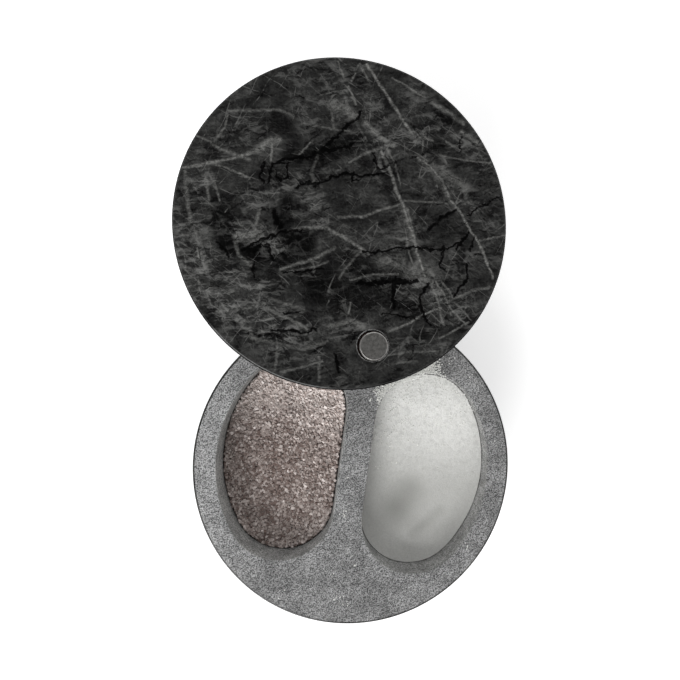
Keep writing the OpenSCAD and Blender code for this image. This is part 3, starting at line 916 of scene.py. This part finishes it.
def salt_bed(name, side, node, spacing, smoothings, relief, material, slot):
    """Closed bed of salt, with the relief added to the frame's height."""
    height = surface_of(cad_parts[node].data, side)
    bm = bmesh.new()
    cells = int(2 * POCKET_R / spacing)
    bmesh.ops.create_grid(bm, x_segments=cells, y_segments=cells, size=POCKET_R)
    outline = bmesh.new()
    for edge in pocket_outline(outline, 0, SALT_GAP):
        a, b = (v.co.copy() for v in edge.verts)
        normal = Vector((b.y - a.y, a.x - b.x, 0)).normalized()
        if normal.dot(a - Vector((POCKET_MID_X, 0, 0))) < 0:
            normal = -normal
        bmesh.ops.bisect_plane(
            bm, geom=[*bm.verts, *bm.edges, *bm.faces], plane_co=a, plane_no=normal, clear_outer=True,
        )
    outline.free()
    bmesh.ops.scale(bm, vec=(side, 1, 1), verts=bm.verts)
    for vert in bm.verts:
        vert.co.z = height(*vert.co.xy, 2 * SALT_GAP)
    for _ in range(smoothings):
        bmesh.ops.smooth_vert(bm, verts=bm.verts, factor=0.5, use_axis_z=True)
    for vert in bm.verts:
        vert.co.z += relief(*vert.co.xy)
    rim = [e for e in bm.edges if e.is_boundary]
    for drop_z, shrink in ((FLOOR_Z + FOOT_R, 1.0), (FLOOR_Z, FOOT_SHARE)):
        made = bmesh.ops.extrude_edge_only(bm, edges=rim)["geom"]
        verts = [g for g in made if isinstance(g, bmesh.types.BMVert)]
        rim = [g for g in made if isinstance(g, bmesh.types.BMEdge) and g.is_boundary]
        for vert in verts:
            vert.co.z = drop_z
        middle = Matrix.Translation((-side * POCKET_MID_X, 0, 0))
        bmesh.ops.scale(bm, vec=(shrink, shrink, 1), space=middle, verts=verts)
    fill_level(bm, FLOOR_Z)
    return finish_piece(name, bm, [material], "base", slot, node)


def noise_at(x, y, layer_mm, size_mm):
    """Noise of a size on the plane, from a layer of its own."""
    return noise.noise(Vector((x, y, layer_mm * MM)) / (size_mm * MM))


def fine_relief(x, y):
    """Soft waves that a spoon left, and crumbs where the salt lies as it was poured."""
    waves = noise_at(x, y, 5, 9) * 0.35
    crumbs = noise_at(x, y, 2, 1.3) * 0.08
    return (waves + crumbs * min(1, max(0, y / MM + 8) / 12)) * MM


salt_bed(
    "coarse_salt_bed", -1, "coarse_salt", 0.9 * MM, 12, lambda x, y: -BED_DROP, COARSE_BED, "pink_salt",
)
fine_bed = salt_bed("fine_salt_bed", 1, "fine_salt", 0.5 * MM, 60, fine_relief, FINE_BED, "white_salt")

# %% [markdown]
# Rock salt breaks along its cube faces, so a crystal is a cube with one or two corners cut off. A dozen
# such shapes, turned and sized afresh, are enough for thousands, scattered on a grid of shaken rows.

# %% Salt crystals
def crystal_shapes(draw, count, cuts):
    """Meshes of unit crystals: uneven cubes with some corners cut off."""
    shapes = []
    for _ in range(count):
        bm = bmesh.new()
        bmesh.ops.create_cube(bm, size=1)
        bmesh.ops.scale(bm, vec=[draw.uniform(0.7, 1.2) for _ in range(3)], verts=bm.verts)
        for _ in range(cuts):
            normal = Vector([draw.uniform(-1, 1) for _ in range(3)]).normalized()
            cut = bmesh.ops.bisect_plane(
                bm, geom=[*bm.verts, *bm.edges, *bm.faces], plane_no=normal,
                plane_co=normal * draw.uniform(0.3, 0.5), clear_outer=True,
            )["geom_cut"]
            if cut:
                bmesh.ops.contextual_create(bm, geom=[g for g in cut if isinstance(g, bmesh.types.BMEdge)])
        bmesh.ops.recalc_face_normals(bm, faces=bm.faces)
        shape = bpy.data.meshes.new("crystal_shape")
        bm.to_mesh(shape)
        bm.free()
        shape.attributes.new("tone", "FLOAT", "POINT")
        shapes.append(shape)
    return shapes


def scatter(name, draw, shapes, places, material, slot):
    """One piece of many crystals. Each place is a centre, a size and a tone."""
    bm = bmesh.new()
    for centre, size, tone in places:
        crystal = draw.choice(shapes).copy()
        crystal.attributes["tone"].data.foreach_set("value", [tone] * len(crystal.vertices))
        turn = Matrix.Rotation(draw.uniform(0, math.tau), 4, [draw.uniform(-1, 1) for _ in range(3)])
        crystal.transform(Matrix.Translation(centre) @ turn @ Matrix.Scale(size, 4))
        bm.from_mesh(crystal)
        bpy.data.meshes.remove(crystal)
    print(name, "crystals", len(places))
    new_piece(name, bm, [material], "base", slot)


def shaken_rows(draw, low, high, spacing):
    """Places on staggered rows between two corners, each shaken a little."""
    rise = spacing * math.sqrt(0.75)
    for row in range(int((high[1] - low[1]) / rise) + 1):
        y = low[1] + row * rise
        x = low[0] + (row % 2) * spacing / 2
        while x < high[0]:
            yield x + draw.uniform(-1, 1) * spacing / 3, y + draw.uniform(-1, 1) * spacing / 3
            x += spacing


# %% [markdown]
# The coarse crystals lie in two layers, the upper one looser. Their mean tone is painted shade and
# light: darker at the middle of the pocket, and paler round that, most of all at the back.

# %% Coarse crystals
COARSE_LAYERS = [(0.86 * MM, -0.65 * MM), (1.06 * MM, -0.2 * MM)]
CRYSTAL_SIZES_MM = (0.65, 1.5, 0.9)
TONE_SPREAD = 0.26


def painted_shade_tone(x_mm, y_mm):
    """Mean tone of the salt at a place, from 0, dark, to 1, pale: painted shade and light."""
    back, front = 0.033 * (y_mm - 4), -0.01 * (y_mm + 14)
    return 0.09 + 0.012 * abs(x_mm + 30) + max(back, 0, front)


draw = random.Random(12)
coarse_height = surface_of(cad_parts["coarse_salt"].data, -1)
coarse_shapes = crystal_shapes(draw, 14, 2)
places = []
for spacing, lift in COARSE_LAYERS:
    for x, y in shaken_rows(draw, (-POCKET_R, -POCKET_R), (0, POCKET_R), spacing):
        z = coarse_height(x, y, -0.5 * MM)
        if z is None:
            continue
        size = draw.triangular(*CRYSTAL_SIZES_MM) * MM
        # Painted shade and light: the mean tone follows the crystal's place.
        tone = min(1.0, max(0.0, draw.gauss(painted_shade_tone(x / MM, y / MM), TONE_SPREAD)))
        places.append((Vector((x, y, z + lift)), size, tone))
scatter("coarse_salt_crystals", draw, coarse_shapes, places, CRYSTAL, "pink_salt")

# %% [markdown]
# Fine salt is too fine to model grain by grain, so the bed's material stands for most of it. The loose
# grains where it was poured last, and those spilt on the stone where the lid sweeps them, are real
# pieces, a third to half a millimetre. Stray ones are given by their middle in mm, count and reach.

# %% Fine grains
GRAIN_TONE = 0.5
ON_STONE = 0.1
STRAY_GRAINS = [
    (-2.5, -5.0, 3, 0.3), (-1.7, -18.5, 9, 0.7), (-2.4, -41.5, 4, 0.6), (0.5, -50.0, 7, 0.9),
    (3.5, -52.0, 6, 0.8), (5.0, -37.0, 3, 0.6), (47.0, -26.0, 6, 0.9), (30.0, 44.0, 8, 2.0),
    (40.0, 36.0, 8, 2.5), (52.0, 14.0, 4, 1.5), (-20.0, -50.0, 3, 2.0),
]
draw = random.Random(7)
fine_height = surface_of(fine_bed.data, 1)
grain_shapes = crystal_shapes(draw, 6, 1)
places = []
for x, y in shaken_rows(draw, (0, -12 * MM), (POCKET_R, POCKET_R), 0.8 * MM):
    z = fine_height(x, y, 0.6 * MM)
    poured = 0.025 * (y / MM - 8) - 0.012 * (x / MM - 20) + 0.6 * noise_at(x, y, 0, 3)
    if z is not None and draw.random() < poured:
        places.append((Vector((x, y, z)), draw.uniform(0.3, 0.55) * MM, GRAIN_TONE))
scatter("fine_salt_grains", draw, grain_shapes, places, FINE_GRAIN, "white_salt")

places = []
for x, y in shaken_rows(draw, (0, 20 * MM), (36 * MM, 46 * MM), 0.36 * MM):
    gap = math.hypot(x - CORNER_X, y - CORNER_Y) - CORNER_R
    within = min(x / (7 * MM), 1, (y - 23 * MM) / (6 * MM), (30 * MM - x) / (5 * MM))
    spilt = 1.4 * within - gap / (8 * MM) + 0.6 * noise_at(x, y, 9, 2)
    if gap > 0.2 * MM and draw.random() < spilt:
        centre = Vector((x, y, RIM_Z + ON_STONE * MM))
        places.append((centre, draw.uniform(0.28, 0.48) * MM, GRAIN_TONE))
for x, y, count, reach in STRAY_GRAINS:
    for _ in range(count):
        off = Vector((draw.gauss(0, reach), draw.gauss(0, reach), RIM_Z / MM + ON_STONE))
        places.append(((Vector((x, y, 0)) + off) * MM, draw.uniform(0.22, 0.42) * MM, GRAIN_TONE))
scatter("spilt_salt_grains", draw, grain_shapes, places, FINE_GRAIN, "white_salt")

# %% [markdown]
# The cellar stands on paper that stays white to the camera and keeps a soft shadow. A large soft lamp
# at the front left leaves the left walls of the pockets dark, and a weak one stands at the back. Both
# are low, because polished stone mirrors what is overhead. The world is dark there, so the lid stays
# black, and pale round the sides.

# %% Stage and light
FLOOR_HALF = 3.0
PAPER_GLOW = 0.42

bm = bmesh.new()
bmesh.ops.create_grid(bm, x_segments=1, y_segments=1, size=FLOOR_HALF)
floor_mesh = bpy.data.meshes.new("floor")
bm.to_mesh(floor_mesh)
bm.free()
floor = placed("floor", floor_mesh)
paper, shader = new_material("matt_white_floor", Roughness=0.9, Specular_IOR_Level=0.1)
seen = add("LightPath", {}, shader.id_data).outputs["Is Camera Ray"]
dress(shader, layer("#e6e6e4", "#ffffff", seen))
glow = combined("MULTIPLY", seen, PAPER_GLOW)
shader.id_data.links.new(glow.outputs[0], shader.inputs["Emission Strength"])
shader.inputs["Emission Color"].default_value = srgb("#ffffff")
floor_mesh.materials.append(paper)

world = bpy.data.worlds.new("studio")
scene.world = world
world.use_nodes = True
tree = world.node_tree
sky = add("TexCoord", {}, tree).outputs["Generated"]
wall = slope(sky, "Z", 0.72, 0.9, 0.8, 0.03)
tree.links.new(wall.outputs[0], tree.nodes["Background"].inputs["Strength"])
tree.nodes["Background"].inputs["Color"].default_value = srgb("#ffffff")


def softbox(name, azimuth, elevation, size, power):
    """Round soft lamp a metre from the cellar. Azimuth runs from +X towards +Y."""
    lamp_data = bpy.data.lights.new(name, "AREA")
    lamp_data.shape = "DISK"
    lamp_data.size = size
    lamp_data.energy = power
    lamp = placed(name, lamp_data)
    a, e = math.radians(azimuth), math.radians(elevation)
    out = Vector((math.cos(a) * math.cos(e), math.sin(a) * math.cos(e), math.sin(e)))
    lamp.location = out + Vector((0, 0, RIM_Z))
    lamp.rotation_euler = out.to_track_quat("Z", "Y").to_euler()


softbox("key", -118, 33, 0.95, 8.4)
softbox("fill", 100, 32, 0.7, 1.8)
print("lamps, watts:", [(lamp.name, round(lamp.energy, 1)) for lamp in bpy.data.lights])
